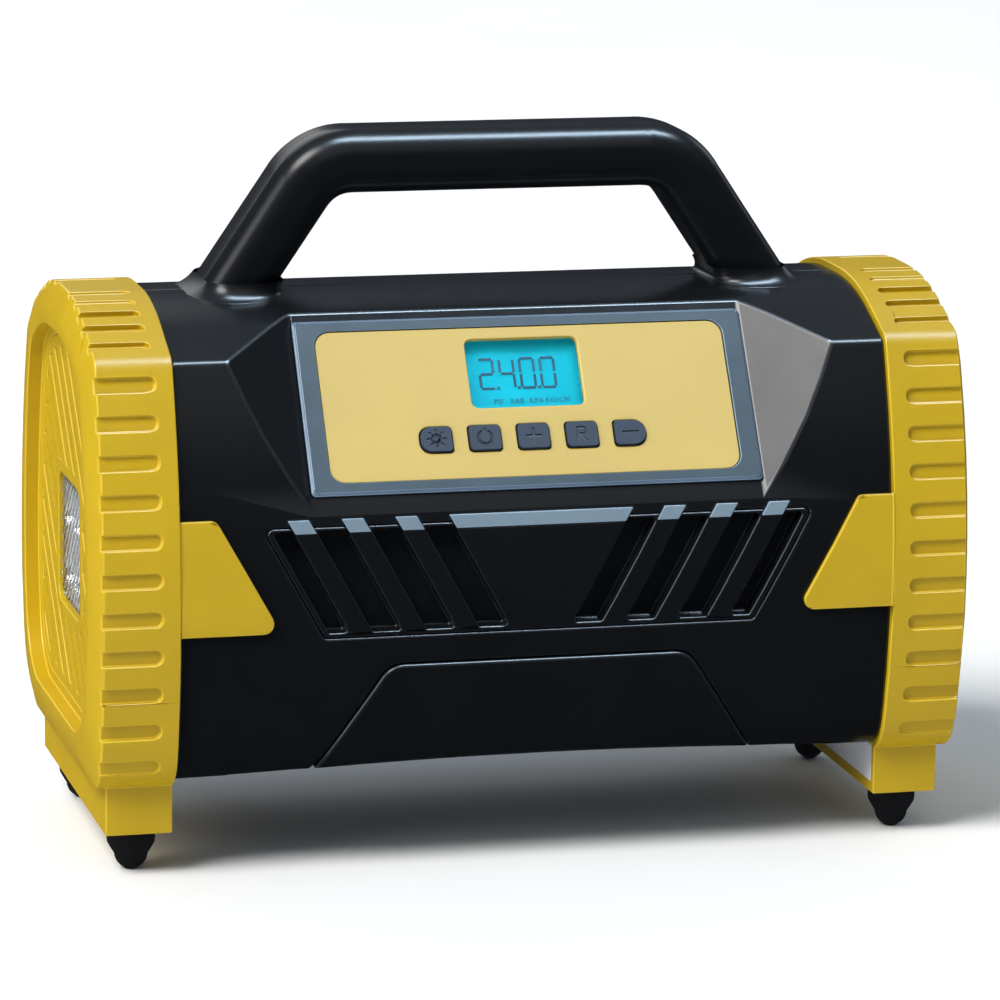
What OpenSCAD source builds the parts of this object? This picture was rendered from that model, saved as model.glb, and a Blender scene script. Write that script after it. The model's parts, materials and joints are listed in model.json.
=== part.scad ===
// Portable jump starter pack with a built-in tyre inflator, seen from the front along +Y.
// X runs along the length, the front faces -Y, Z is up, the feet stand on Z = 0. Millimetres.

/* [Body] */
// Half of the overall length, to the flat rim of an end cap
half_length = 148; // [130:1:170]
// Half of the length of the black body between the two end caps
body_half = 119.5; // [100:0.5:140]
// Depth of the body's belly in front of the centre plane
belly = 72; // [60:1:85]
// Height of the body's flat bottom above the floor
body_bottom = 32; // [25:1:45]
// Height of the body's flat top
body_top = 183.5; // [160:0.5:200]
// Wall thickness of the two casing halves
wall = 3.6; // [2:0.1:4]

/* [End caps] */
// How far the caps stand out of the black body
cap_proud = 2; // [1:0.25:4]
// Distance between two rib slots of a cap
rib_pitch = 12.6; // [10:0.1:16]
// Height of one rib slot
rib_slot = 5; // [3:0.25:7]
// Depth of one rib slot
rib_depth = 1.5; // [0.5:0.1:2.5]
// Depth of the recess in each end face
end_recess = 5; // [3:0.5:8]
// Distance between two slots of the end grille
grille_pitch = 9.5; // [7:0.1:14]
// Width of one slot of the end grille
grille_slot = 3.4; // [2:0.1:5]

/* [Control panel] */
// Length of the blue frame
frame_w = 151.4; // [120:0.2:170]
// Height of the blue frame, measured along the sloping panel
frame_h = 61; // [50:0.5:70]
// Slope of the panel from the vertical, degrees
panel_tilt = 33.2; // [20:0.2:45]
// Distance between two buttons
button_pitch = 16.3; // [14:0.1:20]
// Press travel of a button
button_travel = 0.9; // [0.4:0.1:1.5]

/* [Handle] */
// Height of the top of the grip above the floor
handle_top = 236.5; // [215:0.5:260]
// Thickness of the handle bar
bar_t = 21.5; // [16:0.5:28]
// Depth of the handle bar, front to back
bar_d = 28; // [20:1:34]

/* [Rear sockets] */
// Radius of the threaded air outlet
outlet_r = 4; // [3:0.25:6]
// Radius of the round charging socket
charge_r = 3.2; // [2.5:0.1:4]

/* [Hidden] */
$fn = 48;

ridge_y = 56.6;                    // the crease between the top slope and the front face
ridge_z = 169.4;
belly_z = 90;                      // height of the widest point
belly_r = 208;                     // radius of the front and rear faces
arch_rise = 4.5;                   // how far the bottom edge is arched up at mid length
arch_r = (pow(body_half, 2) + pow(arch_rise, 2)) / (2 * arch_rise);
facet_tilt = 30.7;                 // angle of the side facets beside the control panel
panel_y = -66.9;                   // lower edge of the panel plane
panel_z = 125.9;
slant = 0.55;                      // sideways run of the vent bars per unit of height
seam = 0.1;                        // half gap between two casing halves
end_gap = 0.1;                     // between the black body and an end cap
rim_x = half_length - 3.4;         // where the ribbed surface ends and the chamfer starts
foot_y = 58.9;
plate_y = 55.9;                    // half length of the pale plate on a rail's inner face
ball_x = 130.7;
ball_y = 45.2;
lamp_z = 98.5;
tray_x = [-62, 74];                // rear socket tray
tray_z = [76, 128];
tray_floor = 60;
motor_y = 13;
motor_z = 115;
outlet_x = 54;
outlet_z = 103;
charge_x = 14;
hinge_y = 66.2;
hinge_z = 121;
socket_x = -30;
leg_run = 0.676;                   // sideways run of the handle legs per unit of height
grip_z = handle_top - bar_t / 2;

// ---------- outlines ----------
function unit(v) = v / norm(v);
function at(p, i) = p[(i + len(p)) % len(p)];

// corners of an outline moved inwards by d
function inset(p, d) = [for (i = [0 : len(p) - 1])
    let (u = unit(p[i] - at(p, i - 1)), w = unit(at(p, i + 1) - p[i]),
         a = [-u[1], u[0]], b = [-w[1], w[0]]) p[i] + d * (a + b) / (1 + a * b)];

// one corner turned into an arc of radius r
function corner(a, b, c, r, n) = r < 0.05 ? [b] :
    let (u = unit(a - b), w = unit(c - b), h = acos(u * w) / 2, s = b + u * r / tan(h),
         e = b + w * r / tan(h), o = b + unit(u + w) * r / sin(h),
         p = atan2(s[1] - o[1], s[0] - o[0]), q = atan2(e[1] - o[1], e[0] - o[0]),
         t = ((q - p + 540) % 360) - 180)
    [for (k = [0 : n]) o + r * [cos(p + t * k / n), sin(p + t * k / n)]];

function rounded(p, r, n = 6) = [for (i = [0 : len(p) - 1])
    each corner(at(p, i - 1), p[i], at(p, i + 1), r[i], n)];

function face_y(z) = belly - belly_r + sqrt(pow(belly_r, 2) - pow(z - belly_z, 2));

side_z = [48, 62, 76, 90, 104, 118, 132, 146, 158];

// heights of the side points that leave room for the corner arcs of a section moved in by d
function side_heights(d, ridge, low) = [for (z = side_z)
    if (z > body_bottom + d + low * 0.95 + 2 && z < ridge_z - d * 0.9 - ridge * 0.5 - 3) z];

// cross-section of the body, seen along X, counter-clockwise
function base_section(h) = concat([[face_y(body_bottom), body_bottom]], [for (z = h) [face_y(z), z]],
    [[ridge_y, ridge_z], [24, body_top], [-24, body_top], [-ridge_y, ridge_z]],
    [for (i = [len(h) - 1 : -1 : 0]) [-face_y(h[i]), h[i]]],
    [[-face_y(body_bottom), body_bottom]]);

// d moves it inwards, ridge and low are the corner radii
module section(d, ridge = 4, low = 13) {
    h = side_heights(d, ridge, low);
    zeros = [for (z = h) 0];
    polygon(rounded(inset(base_section(h), d),
                    concat([low], zeros, [ridge, 80 - d, 80 - d, ridge], zeros, [low])));
}

// a YZ outline drawn along X from a to b
module along_x(a, b) {
    translate([a, 0, 0]) rotate([90, 0, 90]) linear_extrude(b - a) children();
}

// an XZ outline drawn along Y from a to b
module along_y(a, b) {
    translate([0, b, 0]) rotate([90, 0, 0]) linear_extrude(b - a) children();
}

module both_sides() { children(); mirror([1, 0, 0]) children(); }

module rod_y(r, a, b) { translate([0, a, 0]) rotate([-90, 0, 0]) cylinder(r = r, h = b - a); }
module rod_x(r, a, b) { translate([a, 0, 0]) rotate([0, 90, 0]) cylinder(r = r, h = b - a); }

module plate2d(w, h, r) {
    polygon(rounded([[w / 2, -h / 2], [w / 2, h / 2], [-w / 2, h / 2], [-w / 2, -h / 2]], [r, r, r, r]));
}

// x along the panel, y up the panel from its lower edge, z out of the panel
module on_panel() { translate([0, panel_y, panel_z]) rotate([90 - panel_tilt, 0, 0]) children(); }

// ---------- body ----------
module panel_cut(d) {
    half = 76 + d * tan(facet_tilt / 2);
    on_panel() translate([0, 130, 0]) rotate([90, 0, 0]) linear_extrude(180)
        polygon([[-half, -d], [half, -d], [half + 70 / tan(facet_tilt), 70 - d],
                 [-half - 70 / tan(facet_tilt), 70 - d]]);
}

module arch(d) {
    translate([0, 0, body_bottom + arch_rise - arch_r]) rotate([90, 0, 0])
        cylinder(r = arch_r + d, h = 200, center = true, $fn = 720);
}

module body_solid(d, low = 13, front = true) {
    difference() {
        along_x(-body_half + (d > 0 ? -1 : end_gap), body_half + (d > 0 ? 1 : -end_gap))
            section(d, d > 0 ? 3 : 4, low);
        arch(d);
        if (front) panel_cut(d);
    }
}

// the necks that carry the caps
module necks() {
    both_sides() difference() {
        along_x(body_half - 6, body_half + 11) section(3.2, 2, 10.2);
        along_x(body_half - 7, body_half + 12) section(5.8, 2, 8);
        panel_cut(0);
    }
}

screw_at = [[108, 52], [108, 148], [-108, 52], [-108, 148]];

module boss_posts(front) {
    intersection() {
        along_x(-body_half, body_half) section(1.2);
        for (p = screw_at) translate([p[0], 0, p[1]])
            if (front) rod_y(5, -80, -seam); else rod_y(5, seam, 80);
    }
}

// pieces of the front pattern, as XZ outlines
module vent_outline(g = 0) {
    polygon(rounded([[-72.2 + g, 80.2 + g], [72.2 - g, 80.2 + g], [92.6 - g * 1.6, 117 - g],
                     [-92.6 + g * 1.6, 117 - g]], [2, 2, 2, 2], 4));
}

// bars of the vent: x where each starts and ends at the height of the accent strips' tops
bar_x = [[77.1, 84.3], [59.2, 66.5], [41.5, 48.8]];
strip_top = 119.4;
strip_low = 114.8;
bar_lip = 0.3;                     // how far a bar stands out beside its strip

module strip_outline(g) {
    for (b = bar_x) polygon([[b[0] + g, strip_top - g], [b[1] - g, strip_top - g],
        [b[1] - g - (strip_top - strip_low) * slant, strip_low + g],
        [b[0] + g - (strip_top - strip_low) * slant, strip_low + g]]);
    polygon([[-0.1, strip_top - g], [30.9 - g, strip_top - g], [28.4 - g, strip_low + g],
             [-0.1, strip_low + g]]);
}

// the channels between the bars
module channel_outline() {
    edges = [[30.9, 41.5], [48.8, 59.2], [66.5, 77.1], [84.3, 91.6]];
    for (e = edges) let (low_run = (strip_top - 82) * slant, high_run = (strip_top - 115.6) * slant,
                         a = e[0] + bar_lip, b = e[1] - bar_lip)
        polygon(rounded([[a - low_run, 82], [b - low_run, 82], [b - high_run, 115.6],
                         [a - high_run, 115.6]], [1, 1, 1, 1], 3));
}

module lower_outline(g) {
    polygon(rounded([[-79 + g, 28], [79 - g, 28], [50.5 - g * 0.6, 71 - g], [-50.5 + g * 0.6, 71 - g]],
                    [0, 0, 9, 9]));
}

// a patch of the body's skin between two depths, seen from the front through an XZ outline
module front_patch(outer, inner) {
    difference() {
        intersection() {
            along_x(-body_half, body_half) section(outer);
            along_y(-90, -20) children();
        }
        along_x(-body_half - 1, body_half + 1) section(inner);
    }
}

module leg_hole() {
    both_sides() intersection() {
        bar_leg(bar_t + 0.6, bar_d + 0.6, 9.3);
        translate([50, -30, body_top - 12]) cube([90, 60, 20]);
    }
}

module front_casing() {
    color([0.11, 0.12, 0.14]) difference() {
        union() {
            difference() {
                body_solid(0);
                body_solid(wall);
            }
            necks();
            boss_posts(true);
        }
        translate([-150, -seam, 0]) cube([300, 200, 260]);
        on_panel() translate([0, frame_h / 2, -8]) linear_extrude(9) plate2d(126, 51, 4);
        along_y(-90, -40) vent_outline();
        front_patch(-2, 1) both_sides() strip_outline(0);
        front_patch(-2, 1.9) lower_outline(0);
        leg_hole();
        for (p = screw_at) translate([p[0], 0, p[1]]) rod_y(1.7, -22, 1);
        cap_screw_holes(1.75);
    }
}

module rear_casing() {
    color([0.10, 0.11, 0.13]) difference() {
        union() {
            difference() {
                body_solid(0, front = false);
                body_solid(wall, front = false);
            }
            necks();
            boss_posts(false);
        }
        translate([-150, seam - 200, 0]) cube([300, 200, 260]);
        translate([tray_x[0], 50, tray_z[0]]) cube([tray_x[1] - tray_x[0], 40, tray_z[1] - tray_z[0]]);
        leg_hole();
        for (p = screw_at) translate([p[0], 0, p[1]]) {
            rod_y(1.9, -1, 90);
            rod_y(3.6, 40, 90);
        }
        cap_screw_holes(1.75);
    }
}

module casing_screws() {
    color([0.55, 0.56, 0.58]) for (p = screw_at) translate([p[0], 0, p[1]]) difference() {
        union() { rod_y(1.5, -20, 40.4); rod_y(3.2, 40.2, 43); }
        rod_y(1.3, 41.4, 44, $fn = 6);
    }
}

// ---------- end caps ----------
// mouths of the pockets: the front face from top to bottom, then the top slope
front_slots = concat([163.7, 151.8, 139.7], [for (k = [3 : 10]) 165.2 - k * rib_pitch]);
slope_slots = [-50, -40.3, -32, -24, -13];

function slope_z(y) = body_top + (ridge_z - body_top) * max(0, (-y - 20) / (ridge_y - 20));

module rib_slots() {
    for (side = [-1, 1]) {
        for (z = front_slots) let (y = face_y(z) + cap_proud, t = asin((z - belly_z) / belly_r))
            translate([0, side * y, z]) rotate([side * t, 0, 0]) slot_pocket(side, rib_slot);
        for (y = slope_slots) let (t = y > -15 ? 6 : 22.5)
            translate([0, side * -y, slope_z(y) + cap_proud * 1.04]) rotate([side * (90 - t) , 0, 0])
                slot_pocket(side, rib_slot * 0.8);
    }
}

// pocket centred on the surface point, going rib_depth into it
module slot_pocket(side, w) {
    translate([0, side > 0 ? -rib_depth : -5, 0]) rotate([-90, 0, 0]) linear_extrude(5 + rib_depth)
        polygon(rounded([[125.4, -w / 2], [160, -w / 2], [160, w / 2], [125.4, w / 2]],
                        [w * 0.46, 0, 0, w * 0.46], 4));
}

module tab_outline() {
    polygon(rounded([[123, 120.5], [107.7, 120.5], [86.6, 83], [123, 83]], [0, 3, 3.5, 0]));
}

module cap_screw_holes(r) {
    both_sides() for (y = [-22, 22]) translate([126, y, 10]) cylinder(r = r, h = 40);
}

module end_cap() {
    difference() {
        union() {
            hull() {
                along_x(body_half, rim_x) section(-cap_proud, 7, 15);
                along_x(half_length - 0.3, half_length) section(6.5, 12, 24);
            }
            // rail under the cap
            translate([body_half, -foot_y, 14.8]) cube([22, 2 * foot_y, 24]);
            // arrow-shaped tabs lying on the body, front and rear
            for (m = [0, 1]) mirror([0, m, 0]) difference() {
                intersection() {
                    along_x(80, body_half + 3) section(0.1 - cap_proud);
                    along_y(-90, -50) tab_outline();
                }
                along_x(79, body_half + 4) section(-0.1);
            }
        }
        along_x(body_half - 1, half_length - 7) section(2.9, 2, 10.2);
        along_x(half_length - 9, half_length + 1) section(16, 14, 22);
        along_x(half_length - end_recess, half_length + 1) section(12.5, 16, 24);
        rib_slots();
        // seat of the pale plate on the rail's inner face
        translate([body_half - 1, -plate_y, 18.2]) cube([2, 2 * plate_y, 13]);
        for (y = [-ball_y, ball_y]) translate([ball_x, y, 10]) cylinder(r = 3.1, h = 17);
        for (y = [-22, 22]) translate([126, y, 10]) { cylinder(r = 1.75, h = 40); cylinder(r = 3.4, h = 9); }
    }
}

module rail_plates() {
    color([0.82, 0.85, 0.85]) both_sides() translate([body_half + 0.1, -plate_y + 0.15, 18.35])
        cube([0.8, 2 * plate_y - 0.3, 12.7]);
}

module cap_color() { color([0.86, 0.72, 0.10]) children(); }
module right_end_cap() { cap_color() end_cap(); }
module left_end_cap() { cap_color() mirror([1, 0, 0]) end_cap(); }

module cap_screws() {
    color([0.55, 0.56, 0.58]) both_sides() for (y = [-22, 22]) translate([126, y, 16]) difference() {
        union() { cylinder(r = 3, h = 3); cylinder(r = 1.5, h = 26); }
        translate([0, 0, -1]) cylinder(r = 1.3, h = 2.4, $fn = 6);
    }
}

module slot_bars() {
    for (k = [-11 : 11]) translate([0, 108]) rotate(-135) translate([k * grille_pitch, 0])
        square([grille_slot, 260], center = true);
}

module grille(lamp) {
    difference() {
        union() {
            along_x(half_length - end_recess - 2.5, half_length - end_recess) section(16.25, 14, 22);
            along_x(half_length - end_recess - 3.6, half_length - end_recess - 2.1) section(13, 14, 22);
        }
        along_x(half_length - 12, half_length) intersection() {
            difference() {
                section(20, 12, 20);
                if (lamp) translate([0, lamp_z]) plate2d(49, 52, 8);
            }
            mirror([1, 0]) slot_bars();
        }
        if (lamp) along_x(half_length - 12, half_length) translate([0, lamp_z]) plate2d(40.4, 44, 5);
    }
}

module right_grille() { color([0.84, 0.70, 0.12]) grille(false); }
module left_grille() { color([0.90, 0.78, 0.20]) mirror([1, 0, 0]) grille(true); }

module lamp_lens() {
    color([0.85, 0.9, 0.92, 0.6]) mirror([1, 0, 0]) difference() {
        union() {
            along_x(half_length - 8.8, half_length - 6.8) translate([0, lamp_z]) plate2d(39.8, 43.4, 4.6);
            along_x(half_length - 6.9, half_length - 5.9) translate([0, lamp_z]) intersection() {
                plate2d(37, 40.6, 3.6);
                for (k = [-10 : 10]) rotate(45) translate([k * 3.4, 0]) square([1.9, 70], center = true);
            }
        }
    }
}

module lamp_reflector() {
    color([0.75, 0.76, 0.78]) mirror([1, 0, 0]) difference() {
        along_x(half_length - 18, half_length - 9) translate([0, lamp_z]) plate2d(39, 42.6, 4.4);
        for (y = [-9, 9], z = [-10, 10]) translate([0, y, lamp_z + z])
            translate([half_length - 17, 0, 0]) rotate([0, 90, 0]) cylinder(r1 = 4, r2 = 8.2, h = 9);
    }
}

module lamp_board() {
    color([0.92, 0.93, 0.9]) mirror([1, 0, 0]) union() {
        along_x(half_length - 20, half_length - 18.3) translate([0, lamp_z]) plate2d(38, 42, 4);
    }
}

module ball_feet() {
    color([0.04, 0.04, 0.05]) for (x = [-ball_x, ball_x], y = [-ball_y, ball_y]) translate([x, y, 0])
        union() {
            rotate_extrude() polygon(concat([[0, 0], [2.2, 0]],
                [for (a = [-62 : 12 : -2]) [5.3 * cos(a) + 0.2, 5.3 + 5.3 * sin(a)]],
                [[6.8, 7.2], [7.8, 9], [8, 10.6], [7.6, 14.6], [3, 14.7], [3, 25], [0, 25]]));
        }
}

// ---------- handle ----------
// centre line: legs meet the grip at (+-knee_x, grip_z)
leg_x0 = 89.0;                                        // leg centre at the body's top
leg_angle = atan(leg_run);
knee_x = leg_x0 - (grip_z - body_top) * leg_run;
bend_r = 20;
bend_t = bend_r * tan((90 - leg_angle) / 2);
lap = 0.5;                                            // how far the straight bars enter the elbows
elbow_step = 0.1;                                     // how much thicker the elbows are

module bar2d(t, d, r) {
    polygon(rounded([[t / 2, -d / 2], [t / 2, d / 2], [-t / 2, d / 2], [-t / 2, -d / 2]], [r, r, r, r], 8));
}

module bar_leg(t, d, r) {
    translate([knee_x, 0, grip_z]) rotate([0, 180 - leg_angle, 0]) translate([0, 0, bend_t - lap])
        linear_extrude(70) bar2d(t, d, r);
}

module bar_bend(t, d, r) {
    // elbow between the grip and a leg
    translate([knee_x - bend_t, 0, grip_z - bend_r]) rotate([90, 0, 0]) rotate([0, 0, leg_angle])
        rotate_extrude(angle = 90 - leg_angle, $fn = 96) translate([bend_r, 0]) bar2d(t, d, r);
}

module bar_grip(t, d, r) {
    translate([-knee_x + bend_t - lap, 0, grip_z]) rotate([0, 90, 0])
        linear_extrude(2 * (knee_x - bend_t + lap)) bar2d(t, d, r);
}

module handle_loop(t, d, r) {
    bar_grip(t, d, r);
    both_sides() {
        bar_leg(t, d, r);
        bar_bend(t + elbow_step, d + elbow_step, r + elbow_step / 2);
    }
}

handle_screw_at = [[-40, grip_z], [0, grip_z], [40, grip_z]];

module handle_half(front) {
    difference() {
        union() {
            difference() {
                handle_loop(bar_t, bar_d, 9);
                handle_loop(bar_t - 6, bar_d - 6, 6);
            }
            intersection() {
                handle_loop(bar_t - 1, bar_d - 1, 8);
                for (p = handle_screw_at) translate([p[0], 0, p[1]]) rod_y(4, -20, 20);
            }
            // flanges under the casing's top
            both_sides() translate([78, -19, body_top - 8.4]) cube([30, 38, 3]);
        }
        translate([-150, front ? -0.15 : -60.15 + 0.3, 100]) cube([300, 60, 200]);
        translate([-150, -30, 100]) cube([300, 60, body_top - 8.4 - 100]);
        for (p = handle_screw_at) translate([p[0], 0, p[1]]) {
            rod_y(1.7, -8, 20);
            rod_y(3.4, 9, 20);
        }
    }
}

module handle_front() { color([0.12, 0.13, 0.15]) handle_half(true); }
module handle_rear() { color([0.12, 0.13, 0.15]) handle_half(false); }

module handle_screws() {
    color([0.55, 0.56, 0.58]) for (p = handle_screw_at) translate([p[0], 0, p[1]]) difference() {
        union() { rod_y(1.5, -7, 9.3); rod_y(3, 9.1, 12); }
        rod_y(1.3, 10.6, 13, $fn = 6);
    }
}

// ---------- control panel ----------
panel_w = 137.6;
panel_h = 52.6;
window_t = 40.7;                   // height of the display's middle up the panel
button_t = 17.9;
plate_top = 1.2;

module bezel() {
    color([0.29, 0.41, 0.55]) on_panel() translate([0, frame_h / 2, 0.05]) difference() {
        union() {
            linear_extrude(1) plate2d(frame_w, frame_h, 1.5);
            translate([0, 0, 0.9]) linear_extrude(0.8) plate2d(frame_w - 1.4, frame_h - 1.4, 1.2);
        }
        translate([0, 0, -1]) linear_extrude(5) plate2d(panel_w + 0.4, panel_h + 0.4, 5.2);
    }
}

button_x = [for (k = [-2 : 2]) k * button_pitch];

// outlines of the five buttons: 0 rounded left, 4 rounded right, the rest square
module button2d(k, g = 0) {
    w = 10.6 + 2 * g;
    h = 8.8 + 2 * g;
    rl = k == 0 ? 3.6 : 1.4;
    rr = k == 4 ? 4.2 : 1.4;
    polygon(rounded([[w / 2, -h / 2], [w / 2, h / 2], [-w / 2, h / 2], [-w / 2, -h / 2]],
                    [rr, rr, rl, rl], 5));
}

module control_panel() {
    color([0.90, 0.80, 0.42]) on_panel() translate([0, 0, 0.05]) difference() {
        union() {
            translate([0, frame_h / 2, 0]) linear_extrude(plate_top) plate2d(panel_w, panel_h, 5);
            translate([0, frame_h / 2, -3.6]) linear_extrude(3.7) plate2d(125, 50, 3.6);
        }
        translate([0, frame_h / 2, -4]) linear_extrude(2.6) plate2d(122, 47, 3);
        translate([0, window_t, -4]) linear_extrude(6) plate2d(38.2, 24.4, 2.5);
        for (k = [0 : 4]) translate([button_x[k], button_t, -5]) linear_extrude(8) button2d(k, 0.3);
    }
}

module lcd_window() {
    color([0.6, 0.9, 0.95, 0.5]) on_panel() translate([0, window_t, -2.6]) union() {
        linear_extrude(2.3) plate2d(37.8, 24, 2.3);
        linear_extrude(1.15) plate2d(40.5, 25.6, 2);
    }
}

module lcd_module() {
    color([0.0, 0.74, 0.84]) on_panel() translate([0, window_t, -7.2]) linear_extrude(4)
        plate2d(42, 26, 1);
}

// seven-segment figures: which segments are lit, as top, top right, low right, bottom, low left,
// top left, middle
digit_on = [[1, 1, 0, 1, 1, 0, 1], [0, 1, 1, 0, 0, 1, 1], [1, 1, 1, 1, 1, 1, 0], [1, 1, 1, 1, 1, 1, 0]];

module figure(on) {
    w = 4.6;
    h = 10.4;
    t = 0.75;
    if (on[0]) translate([0, h / 2]) square([w - 0.4, t], center = true);
    if (on[3]) translate([0, -h / 2]) square([w - 0.4, t], center = true);
    if (on[6]) square([w - 0.6, t], center = true);
    if (on[1]) translate([w / 2, h / 4]) square([t, h / 2 - 0.9], center = true);
    if (on[5]) translate([-w / 2, h / 4]) square([t, h / 2 - 0.9], center = true);
    if (on[2]) translate([w / 2, -h / 4]) square([t, h / 2 - 0.9], center = true);
    if (on[4]) translate([-w / 2, -h / 4]) square([t, h / 2 - 0.9], center = true);
}

module lcd_segments() {
    color([0.10, 0.25, 0.32]) on_panel() translate([0, window_t + 1.2, -3.15]) linear_extrude(0.3) {
        for (i = [0 : 3]) translate([-11.8 + i * 6.9, 0]) figure(digit_on[i]);
        for (i = [0 : 2]) translate([-8.35 + i * 6.9, -5.1]) square(0.9, center = true);
    }
}

// ---------- buttons ----------
module button_body(k) {
    on_panel() translate([button_x[k], button_t, 0]) difference() {
        union() {
            translate([0, 0, -2.6]) linear_extrude(4.8) button2d(k);
            translate([0, 0, -2.6]) linear_extrude(1) square([12.4, 10.4], center = true);
            translate([0, 0, -4.4]) cylinder(r = 1.5, h = 2);
        }
        translate([0, 0, 1.9]) linear_extrude(1) children();
    }
}

module button_color() { color([0.32, 0.38, 0.45]) children(); }

module ring2d(r, t) { difference() { circle(r); circle(r - t); } }

module button_light() {
    button_color() button_body(0) {
        ring2d(1.7, 0.55);
        for (a = [0 : 45 : 315]) rotate(a) translate([2.75, 0]) square([1.2, 0.5], center = true);
    }
}

module button_power() {
    button_color() button_body(1) {
        difference() { ring2d(2.6, 0.6); translate([0, 2.4]) square([2, 2.2], center = true); }
        translate([0, 1.9]) square([0.6, 2.6], center = true);
    }
}

module button_plus() {
    button_color() button_body(2) { square([5.4, 0.7], center = true); square([0.7, 5.4], center = true); }
}

module button_mode() {
    // a letter R made of strokes
    button_color() button_body(3) {
        translate([-1.4, 0]) square([0.6, 5], center = true);
        translate([-0.2, 2.2]) square([2.4, 0.6], center = true);
        translate([-0.2, 0]) square([2.4, 0.6], center = true);
        translate([1.2, 1.1]) square([0.6, 2], center = true);
        translate([0.5, -1.3]) rotate(35) square([0.6, 2.9], center = true);
    }
}

module button_minus() { button_color() button_body(4) square([5.4, 0.7], center = true); }

module control_board() {
    color([0.05, 0.32, 0.18]) on_panel() difference() {
        translate([0, frame_h / 2, -11]) linear_extrude(1.6) plate2d(118, 42, 2);
        for (x = [-54, 54], y = [-16, 16]) translate([x, frame_h / 2 + y, -12]) cylinder(r = 1.6, h = 4);
    }
}

module tact_switches() {
    color([0.15, 0.15, 0.16]) on_panel() for (x = button_x) translate([x, button_t, -9.3]) union() {
        translate([-3, -3, 0]) cube([6, 6, 2.6]);
        translate([0, 0, 2.5]) cylinder(r = 1.6, h = 1.2);
    }
}

// ---------- front pattern ----------
module vent_insert() {
    color([0.09, 0.10, 0.12]) difference() {
        union() {
            front_patch(0.15, 8.6) vent_outline(0.25);
            front_patch(wall + 0.3, 8.4) polygon([[-79, 76.5], [79, 76.5], [97, 119.6], [-97, 119.6]]);
        }
        both_sides() front_patch(-2, 6) channel_outline();
        front_patch(-2, 1) both_sides() strip_outline(0);
    }
}

module accent_strips() {
    color([0.55, 0.65, 0.76]) both_sides() front_patch(-0.2, 0.85) strip_outline(0.12);
}

module lower_plate() {
    color([0.07, 0.07, 0.08]) difference() {
        front_patch(-1.2, 1.8) lower_outline(0.4);
        arch(0.4);
        translate([-100, -57, 0]) cube([200, 60, 60]);
    }
}

// ---------- rear sockets ----------
module tray_box(g, a, b) {
    translate([tray_x[0] + g, a, tray_z[0] + g])
        cube([tray_x[1] - tray_x[0] - 2 * g, b - a, tray_z[1] - tray_z[0] - 2 * g]);
}

module port_tray() {
    color([0.06, 0.06, 0.07]) difference() {
        union() {
            intersection() {
                along_x(-body_half, body_half) section(0.3);
                tray_box(0.3, tray_floor - 3, 90);
            }
            // flange behind the casing's wall
            intersection() {
                along_x(-body_half, body_half) section(wall + 0.3);
                tray_box(-4, tray_floor - 3, 90);
            }
        }
        tray_box(2.8, tray_floor, 100);
        translate([socket_x - 17, 40, 90]) cube([34, 40, 20]);
        translate([outlet_x, 0, outlet_z]) rod_y(5.2, 40, 80);
        translate([charge_x, 0, outlet_z]) rod_y(6.2, 40, 80);
        // seats of the cover's hinge pin
        translate([socket_x, hinge_y, hinge_z]) rod_x(1.3, -27, 27);
    }
    // lugs that carry the hinge pin, each with its bore
    color([0.06, 0.06, 0.07]) for (s = [-1, 1]) difference() {
        translate([socket_x + s * 24.6 - 2, tray_floor - 0.5, hinge_z - 3]) cube([4, 9, 6]);
        translate([socket_x, hinge_y, hinge_z]) rod_x(1.3, -28, 28);
    }
}

module jump_socket() {
    color([0.08, 0.16, 0.42]) difference() {
        union() {
            translate([socket_x - 16.7, 44, 90.3]) cube([33.4, 17, 19.4]);
            translate([socket_x - 19, tray_floor + 0.1, 88]) cube([38, 3, 24]);
        }
        translate([socket_x - 13.5, 47, 93.5]) cube([27, 20, 13]);
        for (s = [-1, 1]) translate([socket_x + s * 7, 0, 100]) rod_y(2.1, 40, 50);
    }
}

module jump_contacts() {
    color([0.80, 0.62, 0.25]) for (s = [-1, 1]) translate([socket_x + s * 7, 0, 100]) rod_y(2, 38, 53);
}

module socket_cover() {
    color([0.05, 0.05, 0.06]) difference() {
        union() {
            translate([socket_x - 21, hinge_y - 1.4, 85]) cube([42, 2.8, hinge_z - 85]);
            translate([socket_x, hinge_y, hinge_z]) rod_x(2.4, -21, 21);
            // finger lip
            translate([socket_x - 8, hinge_y - 1.4, 82.4]) cube([16, 4.4, 3]);
        }
        translate([socket_x, hinge_y, hinge_z]) rod_x(1.3, -30, 30);
    }
}

module cover_pin() {
    color([0.6, 0.6, 0.62]) translate([socket_x, hinge_y, hinge_z]) rod_x(1.25, -26.4, 26.4);
}

module air_outlet() {
    color([0.78, 0.62, 0.30]) translate([outlet_x, 0, outlet_z]) difference() {
        union() {
            rod_y(outlet_r, tray_floor + 2.8, 70.5);
            rod_y(6.6, tray_floor + 0.1, tray_floor + 3);
            rod_y(4.9, 52, tray_floor + 0.2);
            rod_y(2.6, 44, 52.2);
        }
        rod_y(1.4, 40, 80);
    }
}

module charge_socket() {
    color([0.10, 0.10, 0.11]) translate([charge_x, 0, outlet_z]) difference() {
        union() {
            rod_y(5.9, 46, tray_floor + 0.2);
            rod_y(7.4, tray_floor + 0.1, tray_floor + 1.6);
        }
        difference() {
            rod_y(charge_r, 49, 80);
            rod_y(0.9, 48, 52);
        }
    }
}

// ---------- inside ----------
module battery_cells() {
    color([0.20, 0.45, 0.70]) for (x = [-95, -27], y = [-20, 0, 20], z = [54, 74])
        translate([x, y, z]) rod_x(9.15, 0, 65);
}

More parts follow.
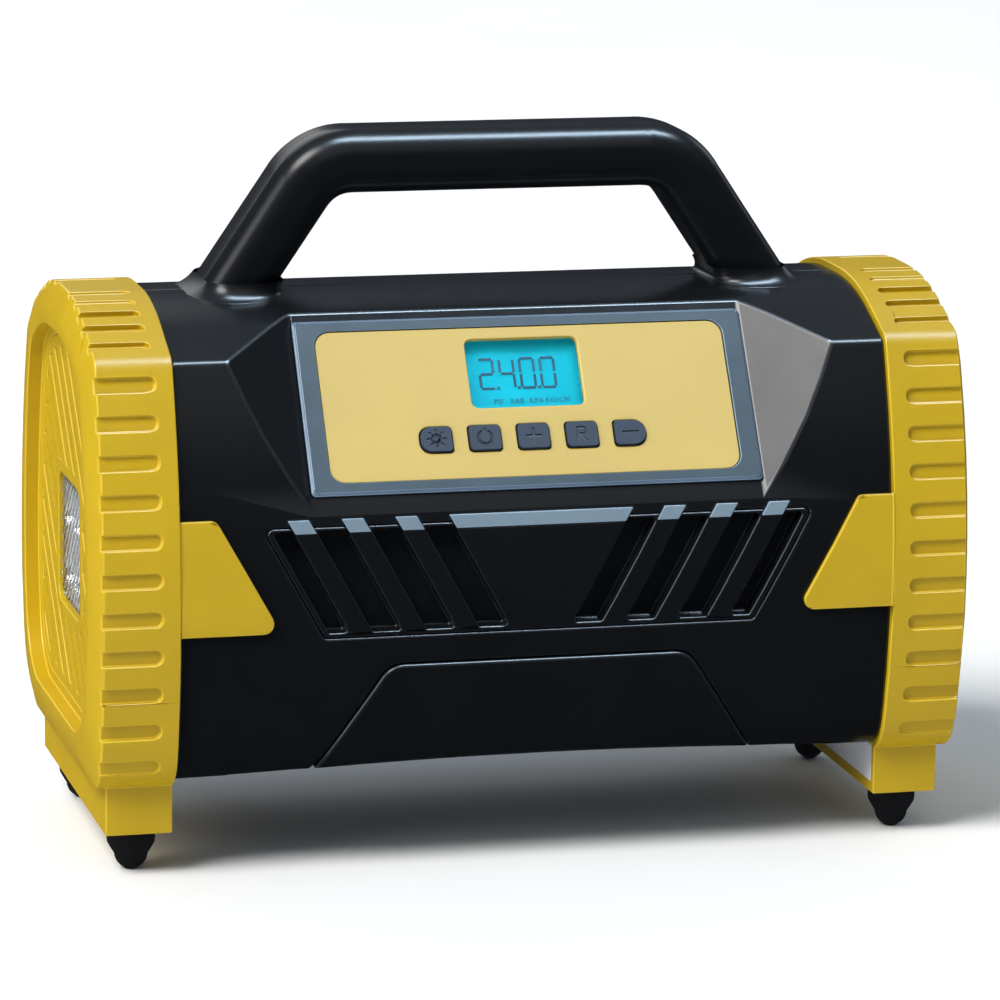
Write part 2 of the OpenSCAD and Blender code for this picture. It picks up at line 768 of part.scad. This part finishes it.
module battery_tray() {
    color([0.12, 0.12, 0.13]) difference() {
        translate([-101, -34, 41]) cube([145, 68, 38]);
        translate([-98, -31, 44]) cube([139, 62, 40]);
    }
}

module bus_bars() {
    color([0.76, 0.76, 0.74]) for (x = [-96.2, -29.4, 38.3], y = [-20, 0, 20])
        translate([x, y - 4, 50]) cube([x == -29.4 ? 1.6 : 0.8, 8, 28]);
}

module power_board() {
    color([0.05, 0.30, 0.20]) translate([-100, -30, 84.4]) cube([130, 60, 1.6]);
}

module jump_relay() {
    color([0.10, 0.10, 0.11]) translate([-92, -16, 86.2]) cube([34, 30, 27]);
}

module compressor_frame() {
    color([0.5, 0.51, 0.53]) union() {
        translate([-20, -8, 91]) cube([92, 42, 2]);
        for (x = [-16, 22]) difference() {
            translate([x, -8, 92]) cube([4, 42, 12]);
            translate([0, motor_y, motor_z]) rod_x(18.4, -30, 40);
        }
    }
}

module compressor_block() {
    color([0.66, 0.67, 0.69]) difference() {
        translate([30.3, -8, 93.2]) cube([40, 42, 42]);
        translate([outlet_x, 0, outlet_z]) rod_y(3.2, 26, 60);
    }
}

module cylinder_head() {
    color([0.70, 0.71, 0.73]) translate([50, motor_y, 135.4]) union() {
        cylinder(r = 12, h = 26);
        for (k = [0 : 4]) translate([0, 0, 3 + k * 4.6]) cylinder(r = 16, h = 2);
        translate([-12, -12, 25.5]) cube([24, 24, 5]);
    }
}

module motor_can() {
    color([0.62, 0.63, 0.66]) translate([0, motor_y, motor_z]) difference() {
        union() { rod_x(18, -24, 30); rod_x(6, -27, -23.5); }
        rod_x(2.06, -28, 20);
    }
}

module motor_shaft() {
    color([0.75, 0.75, 0.77]) translate([0, motor_y, motor_z]) rod_x(2, -42, 18);
}

module cooling_fan() {
    color([0.85, 0.85, 0.86]) translate([0, motor_y, motor_z]) difference() {
        union() {
            rod_x(5.5, -40, -30);
            for (a = [0 : 45 : 315]) rotate([a, 0, 0]) translate([-39, 0, 0]) rotate([0, 0, 24])
                translate([0, -0.7, 5]) cube([8, 1.4, 12]);
        }
        rod_x(2, -50, -20);
    }
}

module air_tube() {
    color([0.2, 0.2, 0.22]) translate([outlet_x, 0, outlet_z]) difference() {
        rod_y(4.2, 34.2, 51.6);
        rod_y(2.8, 30, 60);
    }
}

front_casing();
rear_casing();
left_end_cap();
right_end_cap();
left_grille();
right_grille();
handle_front();
handle_rear();
handle_screws();
casing_screws();
cap_screws();
rail_plates();
ball_feet();
bezel();
control_panel();
lcd_window();
lcd_module();
lcd_segments();
button_light();
button_power();
button_plus();
button_mode();
button_minus();
control_board();
tact_switches();
vent_insert();
accent_strips();
lower_plate();
lamp_lens();
lamp_reflector();
lamp_board();
port_tray();
jump_socket();
jump_contacts();
socket_cover();
cover_pin();
air_outlet();
charge_socket();
battery_cells();
battery_tray();
bus_bars();
power_board();
jump_relay();
compressor_frame();
compressor_block();
cylinder_head();
motor_can();
motor_shaft();
cooling_fan();
air_tube();
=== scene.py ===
"""Looks of the jump starter pack: moulded plastics, display, lamp and studio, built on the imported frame."""

import json
import math

import bmesh
import bpy
from mathutils import Matrix, Vector


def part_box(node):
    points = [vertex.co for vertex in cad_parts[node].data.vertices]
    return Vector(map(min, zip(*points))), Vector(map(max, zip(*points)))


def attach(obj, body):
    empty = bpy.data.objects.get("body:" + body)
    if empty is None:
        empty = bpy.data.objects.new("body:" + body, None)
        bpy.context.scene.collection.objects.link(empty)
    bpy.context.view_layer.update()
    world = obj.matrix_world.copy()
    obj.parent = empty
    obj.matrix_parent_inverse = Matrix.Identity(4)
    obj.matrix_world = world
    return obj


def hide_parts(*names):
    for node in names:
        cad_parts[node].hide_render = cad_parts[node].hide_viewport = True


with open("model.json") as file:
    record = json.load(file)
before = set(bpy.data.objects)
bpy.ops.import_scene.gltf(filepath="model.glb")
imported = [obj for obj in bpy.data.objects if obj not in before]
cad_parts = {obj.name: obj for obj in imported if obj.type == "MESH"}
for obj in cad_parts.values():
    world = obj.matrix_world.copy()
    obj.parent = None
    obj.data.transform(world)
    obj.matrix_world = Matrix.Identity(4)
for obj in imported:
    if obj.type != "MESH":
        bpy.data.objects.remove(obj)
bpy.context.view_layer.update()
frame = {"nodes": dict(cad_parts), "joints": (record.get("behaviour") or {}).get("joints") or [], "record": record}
NODES = frame["nodes"]
SLOTS = {s["node"]: s["material_slot"] for s in frame["record"]["subparts"]}
JOINTS = {j["name"]: j for j in frame["joints"]}
BODY_OF = {n: b for b, ns in frame["record"]["behaviour"]["bodies"].items() for n in ns}
MM = 0.001


# ---------------------------------------------------------------- materials
class Nodes:
    """A material's node tree, with short calls to add and wire nodes."""

    def __init__(self, name):
        self.material = bpy.data.materials.new(name)
        self.material.use_nodes = True
        self.tree = self.material.node_tree
        self.shader = self.tree.nodes["Principled BSDF"]
        self.coords = self.add("ShaderNodeTexCoord").outputs["Object"]

    def add(self, kind, **values):
        node = self.tree.nodes.new(kind)
        for key, value in values.items():
            setattr(node, key, value)
        return node

    def link(self, out, into):
        self.tree.links.new(out, into)

    def noise(self, scale, detail=3.0, roughness=0.5):
        node = self.add("ShaderNodeTexNoise")
        node.inputs["Scale"].default_value = scale
        node.inputs["Detail"].default_value = detail
        node.inputs["Roughness"].default_value = roughness
        self.link(self.coords, node.inputs["Vector"])
        return node.outputs["Fac"]

    def ramp(self, source, low, high, start=0.35, end=0.65):
        """Maps a 0-1 value to two colours or greys."""
        node = self.add("ShaderNodeValToRGB")
        as_colour = lambda v: tuple(v) + (1,) if hasattr(v, "__len__") else (v, v, v, 1)
        node.color_ramp.elements[0].position = start
        node.color_ramp.elements[1].position = end
        node.color_ramp.elements[0].color = as_colour(low)
        node.color_ramp.elements[1].color = as_colour(high)
        self.link(source, node.inputs["Fac"])
        return node.outputs["Color"]

    def set(self, **values):
        """Sets the shader's own sockets; an underscore stands for a space in a socket's name."""
        for key, value in values.items():
            self.shader.inputs[key.replace("_", " ")].default_value = value

    def bump(self, height, strength, distance, below=None):
        node = self.add("ShaderNodeBump")
        node.inputs["Strength"].default_value = strength
        node.inputs["Distance"].default_value = distance
        self.link(height, node.inputs["Height"])
        if below is not None:
            self.link(below, node.inputs["Normal"])
        return node.outputs["Normal"]

    def finish(self, normal):
        self.link(normal, self.shader.inputs["Normal"])
        return self.material


# noise scales, in cycles per metre
GRAIN_SCALE = 2600
FLOW_SCALE = 55
SMUDGE_SCALE = 70


def moulded(name, colour, rough, grain=0.25, drift=0.10, specular=0.5, coat=0.0):
    """Injection-moulded plastic: fine spark-eroded grain, faint flow marks and uneven gloss."""
    m = Nodes(name)
    darker = [c * (1 - drift) for c in colour]
    lighter = [min(1, c * (1 + drift * 0.6)) for c in colour]
    m.link(m.ramp(m.noise(38, 4), darker, lighter, 0.3, 0.7), m.shader.inputs["Base Color"])
    m.link(m.ramp(m.noise(SMUDGE_SCALE, 6, 0.65), rough * 0.94, rough * 1.08), m.shader.inputs["Roughness"])
    m.set(Specular_IOR_Level=specular, Coat_Weight=coat, Coat_Roughness=0.25)
    flow = m.bump(m.noise(FLOW_SCALE, 2), 0.05, 0.0008)
    return m.finish(m.bump(m.noise(GRAIN_SCALE, 2), grain, 0.00006, flow))


def metal(name, colour, rough, brushed=0.25):
    """Bare metal with turning or rolling marks and a little staining."""
    m = Nodes(name)
    m.link(m.ramp(m.noise(160, 4), [c * 0.82 for c in colour], colour), m.shader.inputs["Base Color"])
    m.link(m.ramp(m.noise(420, 5), rough * 0.75, rough * 1.3), m.shader.inputs["Roughness"])
    m.set(Metallic=1.0)
    return m.finish(m.bump(m.noise(1500, 3), brushed, 0.00005))


def clear_plastic(name, tint, ior=1.46):
    """Polished clear plastic with faint moulding ripples."""
    m = Nodes(name)
    rough = 0.03
    m.set(Base_Color=(*tint, 1), Transmission_Weight=1.0, IOR=ior)
    m.link(m.ramp(m.noise(300, 3), rough, rough * 2.2), m.shader.inputs["Roughness"])
    return m.finish(m.bump(m.noise(60, 2), 0.03, 0.0005))


def circuit_board(name, colour):
    """Solder mask with darker copper pours showing through in straight-edged fields."""
    m = Nodes(name)
    cells = m.add("ShaderNodeTexVoronoi", distance="CHEBYCHEV")
    cells.inputs["Scale"].default_value = 240
    m.link(m.coords, cells.inputs["Vector"])
    m.link(m.ramp(cells.outputs["Distance"], [c * 0.6 for c in colour], colour, 0.2, 0.3),
           m.shader.inputs["Base Color"])
    m.link(m.ramp(m.noise(200, 3), 0.3, 0.45), m.shader.inputs["Roughness"])
    return m.finish(m.bump(cells.outputs["Distance"], 0.15, 0.0001))


def display_glow(name):
    """Back-lit liquid crystal: cyan, unevenly lit from behind, with a very fine surface grain."""
    m = Nodes(name)
    glow = m.ramp(m.noise(26, 1), (0.0, 0.29, 0.36), (0.0, 0.36, 0.44), 0.35, 0.62)
    m.link(glow, m.shader.inputs["Base Color"])
    m.link(glow, m.shader.inputs["Emission Color"])
    m.set(Emission_Strength=0.24, Roughness=0.4, Specular_IOR_Level=0.1)
    return m.finish(m.bump(m.noise(4200, 0), 0.1, 0.00004))


BLACK = (0.0052, 0.0060, 0.0074)
YELLOW = (0.53, 0.35, 0.006)
MATERIALS = {
    "casing_black": moulded("casing_black", BLACK, 0.25, 0.2, specular=0.28),
    "cap_yellow": moulded("cap_yellow", YELLOW, 0.42, 0.22, drift=0.05, specular=0.32),
    "panel_yellow": moulded("panel_yellow", (0.58, 0.425, 0.100), 0.45, 0.15, drift=0.03, specular=0.3),
    "frame_blue": moulded("frame_blue", (0.020, 0.042, 0.062), 0.36, 0.1, drift=0.08),
    "accent_blue": moulded("accent_blue", (0.19, 0.27, 0.34), 0.35, 0.1, drift=0.06),
    "button_grey": moulded("button_grey", (0.020, 0.032, 0.060), 0.5, 0.3, drift=0.1, specular=0.25),
    "clear": clear_plastic("clear", (0.97, 0.99, 1.0)),
    # the display window: its low IOR keeps reflections off the display
    "window": clear_plastic("window", (0.93, 0.99, 1.0), ior=1.16),
    "lcd_cyan": display_glow("lcd_cyan"),
    "lcd_ink": moulded("lcd_ink", (0.010, 0.050, 0.095), 0.4, 0.05),
    "steel": metal("steel", (0.52, 0.53, 0.55), 0.32),
    "brass": metal("brass", (0.72, 0.52, 0.20), 0.26),
    "rubber_black": moulded("rubber_black", (0.010, 0.010, 0.011), 0.24, 0.12, coat=0.3),
    "board_green": circuit_board("board_green", (0.015, 0.14, 0.06)),
    "socket_blue": moulded("socket_blue", (0.02, 0.06, 0.30), 0.32, 0.15),
    "cell_wrap": moulded("cell_wrap", (0.03, 0.14, 0.42), 0.25, 0.05),
    "nickel": metal("nickel", (0.66, 0.65, 0.62), 0.3),
    "cast_alloy": metal("cast_alloy", (0.46, 0.47, 0.49), 0.5, 0.5),
    "white_plastic": moulded("white_plastic", (0.75, 0.76, 0.78), 0.4),
    "reflector": metal("reflector", (0.86, 0.87, 0.9), 0.08, 0.03),
    "board_white": circuit_board("board_white", (0.8, 0.8, 0.77)),
}
# the rounded edges, mostly smoother than the faces; their colour is a painted highlight, a shade lighter than the
# faces, except on the buttons, where it is painted shade, a little darker
EDGE_PAINTED_LIGHT_AND_SHADE = {
    # painted highlight: each edge colour below is lighter than its face colour, except the buttons'
    "casing_black": moulded("casing_black_edge_painted_highlight", (0.010, 0.012, 0.015), 0.26, 0.1, specular=0.5),
    "cap_yellow": moulded("cap_yellow_edge_painted_highlight", (0.62, 0.42, 0.015), 0.34, 0.1, drift=0.04),
    "panel_yellow": moulded("panel_yellow_edge_painted_highlight", (0.66, 0.50, 0.10), 0.34, 0.08, drift=0.04),
    "frame_blue": moulded("frame_blue_edge_painted_highlight", (0.17, 0.25, 0.36), 0.22, 0.05),
    "accent_blue": moulded("accent_blue_edge_painted_highlight", (0.30, 0.40, 0.54), 0.25, 0.05),
    # painted shade: the buttons' edges darker than their faces
    "button_grey": moulded("button_grey_edge_painted_shade", (0.016, 0.024, 0.042), 0.45, 0.1, specular=0.25),
}
INK = moulded("button_ink", (0.012, 0.018, 0.028), 0.5, 0.1)


# ---------------------------------------------------------------- meshes
# edges sharper than this are rounded
EDGE_ANGLE = math.radians(28)
# faces that turn less than this are joined into one
FLAT_ANGLE = math.radians(0.4)
# points closer than this are welded
WELD = 2e-6


def link(obj):
    bpy.context.scene.collection.objects.link(obj)
    return obj


def clean_copy(node, join):
    """A welded copy of a node's mesh, with its flat faces joined up again where join is set."""
    mesh = bpy.data.meshes.new(node + "_mesh")
    bm = bmesh.new()
    bm.from_mesh(NODES[node].data)
    bmesh.ops.remove_doubles(bm, verts=bm.verts, dist=WELD)
    if join:
        bmesh.ops.dissolve_limit(bm, angle_limit=FLAT_ANGLE, verts=bm.verts, edges=bm.edges)
    bmesh.ops.recalc_face_normals(bm, faces=bm.faces)
    for face in bm.faces:
        face.smooth = True
        face.material_index = 0
    bm.to_mesh(mesh)
    bm.free()
    for layer in ("custom_normal", "sharp_face"):
        if layer in mesh.attributes:
            mesh.attributes.remove(mesh.attributes[layer])
    return mesh


def keep_inside(piece, node):
    """Applies the rounding, and pulls back the corners that it pushed out of the node's own box."""
    bpy.context.view_layer.update()
    rounded = bpy.data.meshes.new_from_object(piece.evaluated_get(bpy.context.evaluated_depsgraph_get()))
    low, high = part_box(node)
    for corner in rounded.vertices:
        corner.co = Vector([min(max(value, a), b) for value, a, b in zip(corner.co, low, high)])
    piece.modifiers.clear()
    piece.data = rounded


def finished(node, width, segments, join, paint=None):
    """The node's own shape with its edges rounded to width metres; it stands for the node.

    The faces that paint picks are inked.
    """
    mesh = clean_copy(node, join)
    slot = SLOTS[node]
    mesh.materials.append(MATERIALS["window" if node == "lcd_window" else slot])
    # second material: the rounded edges' colour, a painted highlight (painted shade on the buttons)
    mesh.materials.append(EDGE_PAINTED_LIGHT_AND_SHADE.get(slot, MATERIALS[slot]))
    if paint:
        mesh.materials.append(INK)
        for face in mesh.polygons:
            if paint(face):
                face.material_index = 2
    piece = link(bpy.data.objects.new(node + "_finish", mesh))
    if width:
        bevel = piece.modifiers.new("rounded edges", "BEVEL")
        bevel.width = width
        bevel.segments = segments
        bevel.limit_method = "ANGLE"
        bevel.angle_limit = EDGE_ANGLE
        # the rounded edges take the second material, with its painted highlight or, on buttons, painted shade
        bevel.material = 1
        bevel.miter_outer = "MITER_ARC"
        bevel.use_clamp_overlap = False
    mesh.set_sharp_from_angle(angle=EDGE_ANGLE)
    normals = piece.modifiers.new("face-weighted shading", "WEIGHTED_NORMAL")
    normals.keep_sharp = True
    if node.endswith("end_cap"):
        keep_inside(piece, node)
    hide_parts(node)
    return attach(piece, BODY_OF[node])


def mesh_piece(name, verts, faces, slot):
    """A smooth-shaded piece of the body, made from points and faces."""
    mesh = bpy.data.meshes.new(name)
    mesh.from_pydata([tuple(v) for v in verts], [], faces)
    mesh.validate()
    for face in mesh.polygons:
        face.use_smooth = True
    mesh.materials.append(MATERIALS[slot])
    piece = link(bpy.data.objects.new(name, mesh))
    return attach(piece, "chassis")


# ---------------------------------------------------------------- the panel's own frame
def panel_frame():
    """Matrix from panel axes (x along, y up the slope, z out), centred on the blue frame, and z's way."""
    out = -Vector(JOINTS["press_plus"]["axis"])
    up = Vector((0, out.z, -out.y))
    low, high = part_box("bezel")
    middle = (low + high) / 2
    rotation = Matrix((Vector((1, 0, 0)), up, out)).transposed().to_4x4()
    return Matrix.Translation(middle) @ rotation, out


PANEL, PANEL_OUT = panel_frame()
# how deep below a button's top a symbol's floor may lie
SYMBOL_DEPTHS = (0.15 * MM, 0.5 * MM)


def button_paint(node):
    """Picks the floors of the symbols cut into a button's top."""
    top = max(v.co.dot(PANEL_OUT) for v in NODES[node].data.vertices)

    def test(face):
        depth = top - face.center.dot(PANEL_OUT)
        return face.normal.dot(PANEL_OUT) > 0.9 and SYMBOL_DEPTHS[0] < depth < SYMBOL_DEPTHS[1]
    return test


# ---------------------------------------------------------------- object
# how far each node's edges are rounded, in how many steps, and whether its flat faces are joined first
ROUNDED = {
    "front_casing": (0.7 * MM, 3, True), "rear_casing": (0.7 * MM, 3, True),
    "left_end_cap": (0.45 * MM, 3, False), "right_end_cap": (0.45 * MM, 3, False),
    "left_grille": (0.35 * MM, 2, False), "right_grille": (0.35 * MM, 2, False),
    "handle_front": (0, 0, False), "handle_rear": (0, 0, False),
    "bezel": (0.3 * MM, 2, False), "control_panel": (0.25 * MM, 2, True),
    "vent_insert": (0.5 * MM, 2, False), "accent_strips": (0.15 * MM, 2, True),
    "lower_plate": (1.1 * MM, 4, True),
    "rail_plates": (0.2 * MM, 2, True), "ball_feet": (0.2 * MM, 2, True),
    "port_tray": (0.5 * MM, 2, True), "jump_socket": (0.5 * MM, 2, True),
    "socket_cover": (0.5 * MM, 2, True), "air_outlet": (0.3 * MM, 2, True),
    "charge_socket": (0.3 * MM, 2, True), "handle_screws": (0.25 * MM, 2, True),
    "casing_screws": (0.25 * MM, 2, True), "cap_screws": (0.25 * MM, 2, True),
    "lamp_lens": (0.2 * MM, 2, False), "lcd_window": (0.15 * MM, 2, True),
}
BUTTONS = [n for n in NODES if n.startswith("button_")]
BUTTON_ROUNDING = 0.22 * MM


def build_object():
    for node, (width, segments, join) in ROUNDED.items():
        finished(node, width, segments, join)
    for node in BUTTONS:
        finished(node, BUTTON_ROUNDING, 2, False, paint=button_paint(node))
    for node, obj in NODES.items():
        obj.data.materials.clear()
        obj.data.materials.append(MATERIALS[SLOTS[node]])


def rounded_ring(half_x, half_y, radius_x, radius_y, steps=6):
    """Points of a rounded rectangle around the origin, counter-clockwise."""
    points = []
    for sx, sy, start in ((1, 1, 0), (-1, 1, 90), (-1, -1, 180), (1, -1, 270)):
        for k in range(steps + 1):
            a = math.radians(start + 90 * k / steps)
            points.append((sx * (half_x - radius_x) + radius_x * math.cos(a),
                           sy * (half_y - radius_y) + radius_y * math.sin(a)))
    return points


# the handle leg's section where it meets the body's top, and its lean
LEG_HALF_X = 12.97 * MM
LEG_CORNER_X = 10.86 * MM
LEG_CORNER_Y = 9 * MM
LEG_CENTRE = 89 * MM
LEG_RUN = 0.676
# the collar: how far it flares out, how deep its skirt goes below the top, and its gap to the leg
FLARE = 4.2 * MM
SKIRT = 2.2 * MM
SKIN = 0.05 * MM
# the top falls away beyond this half depth, by this slope
TOP_FLAT = 8 * MM
TOP_FALL = 0.11


def handle_collars():
    """The flare at the foot of each handle leg, where it runs out into the body's top."""
    body_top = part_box("front_casing")[1].z
    half_y = -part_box("handle_front")[0].y
    steps = 8
    for side, name in ((-1, "handle_collar_left"), (1, "handle_collar_right")):
        verts, faces = [], []
        for k in range(-1, steps + 1):
            a = math.radians(90 * max(k, 0) / steps)
            offset = FLARE * (1 - math.sin(a)) + SKIN
            rise = FLARE * (1 - math.cos(a)) if k >= 0 else -SKIRT
            ring = rounded_ring(LEG_HALF_X + offset, half_y + offset,
                                LEG_CORNER_X + offset, LEG_CORNER_Y + offset)
            for x, y in ring:
                droop = TOP_FALL * max(0, abs(y) - TOP_FLAT) * (1 - max(k, 0) / steps)
                z = body_top + rise - droop
                verts.append((side * (LEG_CENTRE - (z - body_top) * LEG_RUN + x), y, z))
        count = len(ring)
        for row in range(steps + 1):
            for i in range(count):
                j = (i + 1) % count
                a, b = row * count, (row + 1) * count
                quad = (a + i, a + j, b + j, b + i)
                faces.append(quad if side > 0 else quad[::-1])
        mesh_piece(name, verts, faces, "casing_black")


# height of the unit names, and how far above the panel's middle they stand
UNIT_HEIGHT = 2.5 * MM
UNIT_ROW = 1.6 * MM


def panel_text(name, words, x, out):
    """A unit name, a thin film of ink lying in the display."""
    slot = "lcd_ink"
    curve = bpy.data.curves.new(name, "FONT")
    curve.body = words
    curve.size = UNIT_HEIGHT
    curve.align_x = "CENTER"
    curve.align_y = "CENTER"
    curve.extrude = 0.03 * MM
    curve.space_character = 1.1
    text = link(bpy.data.objects.new(name, curve))
    text.matrix_world = PANEL @ Matrix.Translation((x, UNIT_ROW, out))
    bpy.context.view_layer.update()
    mesh = bpy.data.meshes.new_from_object(text.evaluated_get(bpy.context.evaluated_depsgraph_get()))
    mesh.transform(text.matrix_world)
    bpy.data.objects.remove(text)
    piece = link(bpy.data.objects.new(name, mesh))
    mesh.materials.clear()
    mesh.materials.append(MATERIALS[slot])
    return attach(piece, "chassis")


def display_words():
    """Unit names along the display's foot."""
    low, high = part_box("lcd_segments")
    depth = (PANEL.inverted() @ ((low + high) / 2)).z
    for words, x in (("PSI", -9.0), ("BAR", -2.6), ("KPA", 3.8), ("KG/CM", 11.0)):
        panel_text("unit_" + words.split("/")[0].lower(), words, x * MM, depth)


build_object()
handle_collars()
display_words()


# ---------------------------------------------------------------- studio
def studio():
    """A pale paper floor, and a sky that is dark at the horizon and blue-grey overhead."""
    mesh = bpy.data.meshes.new("floor")
    size = 9.0
    corners = [(-size, -size, 0), (size, -size, 0), (size, size, 0), (-size, size, 0)]
    mesh.from_pydata(corners, [], [(0, 1, 2, 3)])
    floor = link(bpy.data.objects.new("floor", mesh))
    m = Nodes("floor_paper")
    m.link(m.ramp(m.noise(3, 3), (0.88, 0.88, 0.88), (0.91, 0.91, 0.91)), m.shader.inputs["Base Color"])
    m.set(Roughness=0.9, Specular_IOR_Level=0.1)
    mesh.materials.append(m.finish(m.bump(m.noise(900, 2), 0.03, 0.0002)))
    # glossy surfaces mirror the dark horizon instead of the floor, which keeps the black body dark
    floor.visible_glossy = False

    world = bpy.data.worlds.new("studio")
    bpy.context.scene.world = world
    world.use_nodes = True
    tree = world.node_tree
    background = tree.nodes["Background"]
    coords = tree.nodes.new("ShaderNodeTexCoord")
    split = tree.nodes.new("ShaderNodeSeparateXYZ")
    ramp = tree.nodes.new("ShaderNodeValToRGB")
    stops = ramp.color_ramp.elements
    stops[0].position, stops[0].color = 0.0, (0.02, 0.024, 0.03, 1)
    stops[1].position, stops[1].color = 1.0, (0.42, 0.50, 0.58, 1)
    middle = stops.new(0.35)
    middle.color = (0.10, 0.12, 0.145, 1)
    tree.links.new(coords.outputs["Generated"], split.inputs["Vector"])
    tree.links.new(split.outputs["Z"], ramp.inputs["Fac"])
    tree.links.new(ramp.outputs["Color"], background.inputs["Color"])
    background.inputs["Strength"].default_value = 0.95


# where the lights aim: the middle of the body
AIM = Vector((0, 0, 0.11))


def area_light(name, place, size, power, colour, size_y=None):
    """A square or oblong soft box, in metres and watts, that faces AIM."""
    lamp = bpy.data.lights.new(name, "AREA")
    lamp.energy = power
    lamp.color = colour
    lamp.shape = "RECTANGLE"
    lamp.size = size
    lamp.size_y = size_y or size
    obj = link(bpy.data.objects.new(name, lamp))
    obj.location = place
    obj.rotation_euler = (AIM - Vector(place)).to_track_quat("-Z", "Y").to_euler()
    return obj


def lights():
    """Soft daylight from the front left, weak fills around, and a strip overhead for long highlights."""
    area_light("key_left", (-1.7, -0.55, 0.8), 0.8, 11, (1.0, 0.985, 0.95))
    area_light("front_soft", (0.2, -2.2, 1.6), 1.4, 3, (1.0, 0.99, 0.97))
    strip = area_light("sky_top", (0.38, -0.30, 1.45), 1.0, 46, (0.62, 0.81, 1.0), 0.30)
    # it hangs along the handle, tipped towards the pack, and gives highlights only
    strip.rotation_euler = (math.radians(12), 0, 0)
    strip.visible_diffuse = False
    sun = bpy.data.lights.new("soft_sun", "SUN")
    sun.energy = 2.9
    sun.angle = math.radians(26)
    sun.color = (1.0, 0.99, 0.97)
    sun_object = link(bpy.data.objects.new("soft_sun", sun))
    sun_object.rotation_euler = Vector((0.50, 0.36, -0.79)).to_track_quat("-Z", "Y").to_euler()
    area_light("back_soft", (-0.5, 2.2, 1.5), 1.6, 9, (1.0, 0.99, 0.97))
    area_light("rim_right", (1.5, 0.9, 0.9), 0.6, 1.4, (0.9, 0.95, 1.0))


# the camera: place in metres, yaw, pitch and roll in degrees, lens and sensor in millimetres
CAMERA_PLACE = (-0.4369, -1.6983, 0.4838)
CAMERA_TURN = (14.5576, 12.0893, 0.786)
CAMERA_LENS = 191.54
CAMERA_SENSOR = 36


def camera():
    """Long lens, a little left of the front and above the pack."""
    yaw, pitch, roll = (math.radians(v) for v in CAMERA_TURN)
    forward = Vector((math.sin(yaw) * math.cos(pitch), math.cos(yaw) * math.cos(pitch), -math.sin(pitch)))
    right = Vector((math.cos(yaw), -math.sin(yaw), 0))
    up = right.cross(forward)
    rolled_right = math.cos(roll) * right + math.sin(roll) * up
    rolled_up = -math.sin(roll) * right + math.cos(roll) * up
    data = bpy.data.cameras.new("camera")
    data.sensor_width = CAMERA_SENSOR
    data.lens = CAMERA_LENS
    obj = link(bpy.data.objects.new("camera", data))
    turn = Matrix((rolled_right, rolled_up, -forward)).transposed().to_4x4()
    obj.matrix_world = Matrix.Translation(CAMERA_PLACE) @ turn
    bpy.context.scene.camera = obj


studio()
lights()
camera()
bpy.context.scene.view_settings.view_transform = "Standard"
